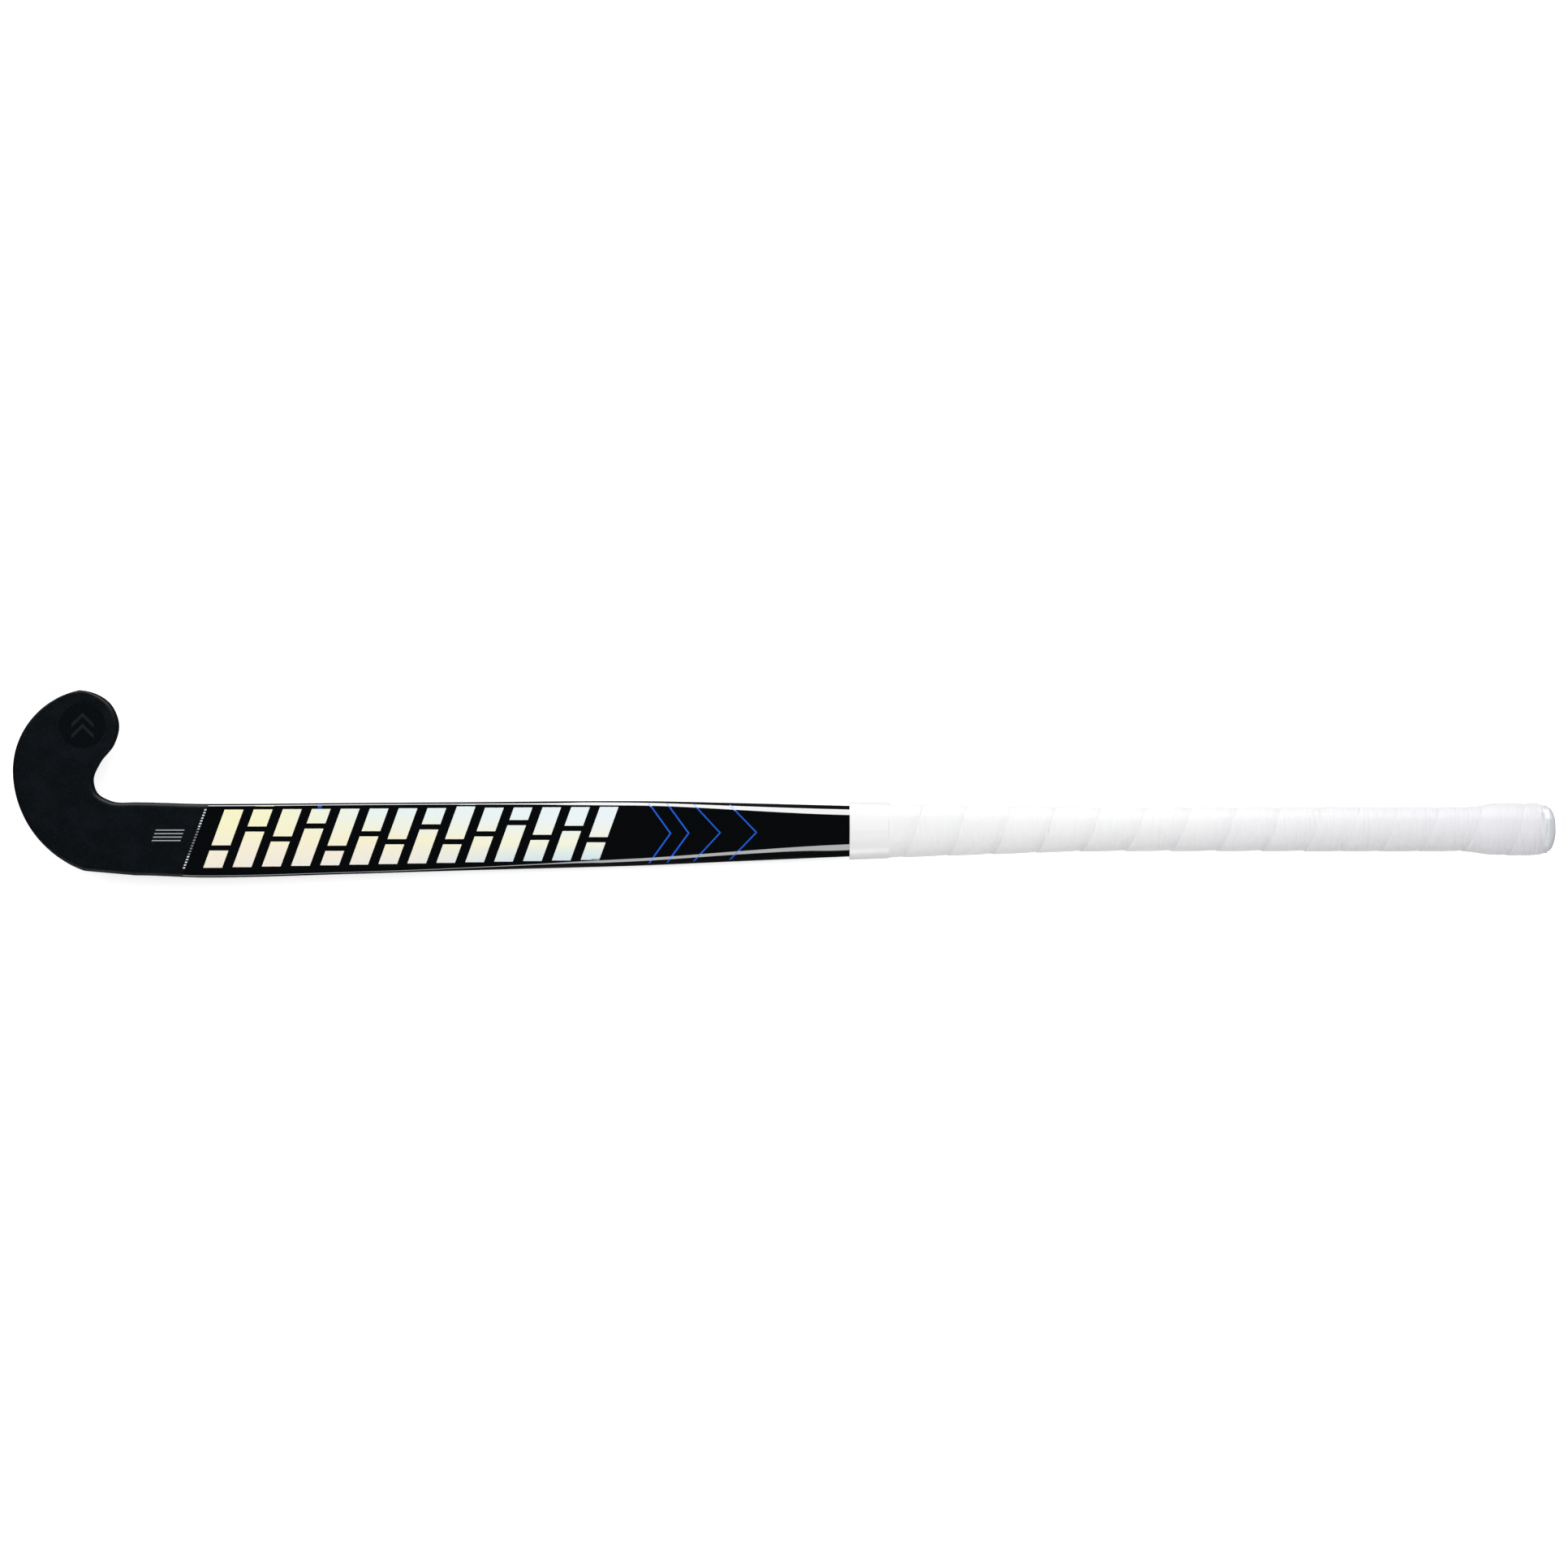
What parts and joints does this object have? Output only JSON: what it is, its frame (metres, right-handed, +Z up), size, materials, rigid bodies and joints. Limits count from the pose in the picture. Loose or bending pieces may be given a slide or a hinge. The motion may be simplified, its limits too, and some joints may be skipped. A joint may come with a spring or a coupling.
{
  "type": "field hockey stick",
  "caption": "Composite field hockey stick lying face up: hooked head with a flat playing face, bowed bevelled shaft and a flared taped grip.",
  "frame": {"origin": "middle of the stick's length and of its overall width, at the surface it lies on", "axes": "+X from the head to the butt of the handle, +Y towards the tip of the hook, +Z up out of the flat playing face"},
  "size_m": [0.927, 0.1128, 0.0482],
  "materials": {
    "gloss_black_lacquer": "high gloss black lacquer on the shaft, fading to a fine speckled matte on the head",
    "badge_gloss": "gloss black print",
    "grey_print": "satin grey print",
    "white_print": "satin white print",
    "iridescent_foil": "pale iridescent foil, yellow to blue",
    "blue_print": "gloss blue print",
    "head_foam": "dense foam",
    "aramid": "woven aramid in resin",
    "carbon": "carbon laminate",
    "bladder_film": "thin nylon film",
    "handle_foam": "light foam",
    "plug_plastic": "moulded nylon",
    "collar_foam": "dense foam rubber",
    "cushion_foam": "soft foam rubber",
    "white_grip_tape": "soft white polyurethane tape",
    "white_vinyl": "white vinyl tape",
    "white_cap": "white moulded rubber-plastic"
  },
  "bodies": {
    "root": {"laminate_shell": "gloss_black_lacquer", "toe_badge": "badge_gloss", "control_zone_bars": "grey_print", "control_zone_ticks": "white_print", "foil_blocks_1": "iridescent_foil", "foil_blocks_2": "iridescent_foil", "foil_blocks_3": "iridescent_foil", "foil_blocks_4": "iridescent_foil", "foil_blocks_5": "iridescent_foil", "blue_chevron_1": "blue_print", "blue_chevron_2": "blue_print", "blue_edge_tick": "blue_print", "head_core": "head_foam", "head_aramid_wrap": "aramid", "centre_rib": "carbon", "chamber_liner_hook_side": "bladder_film", "chamber_liner_heel_side": "bladder_film", "handle_core": "handle_foam", "butt_plug": "plug_plastic", "butt_collar": "collar_foam", "grip_cushion": "cushion_foam", "grip_tape": "white_grip_tape", "grip_finishing_tape": "white_vinyl", "butt_cap": "white_cap"}
  },
  "joints": []
}
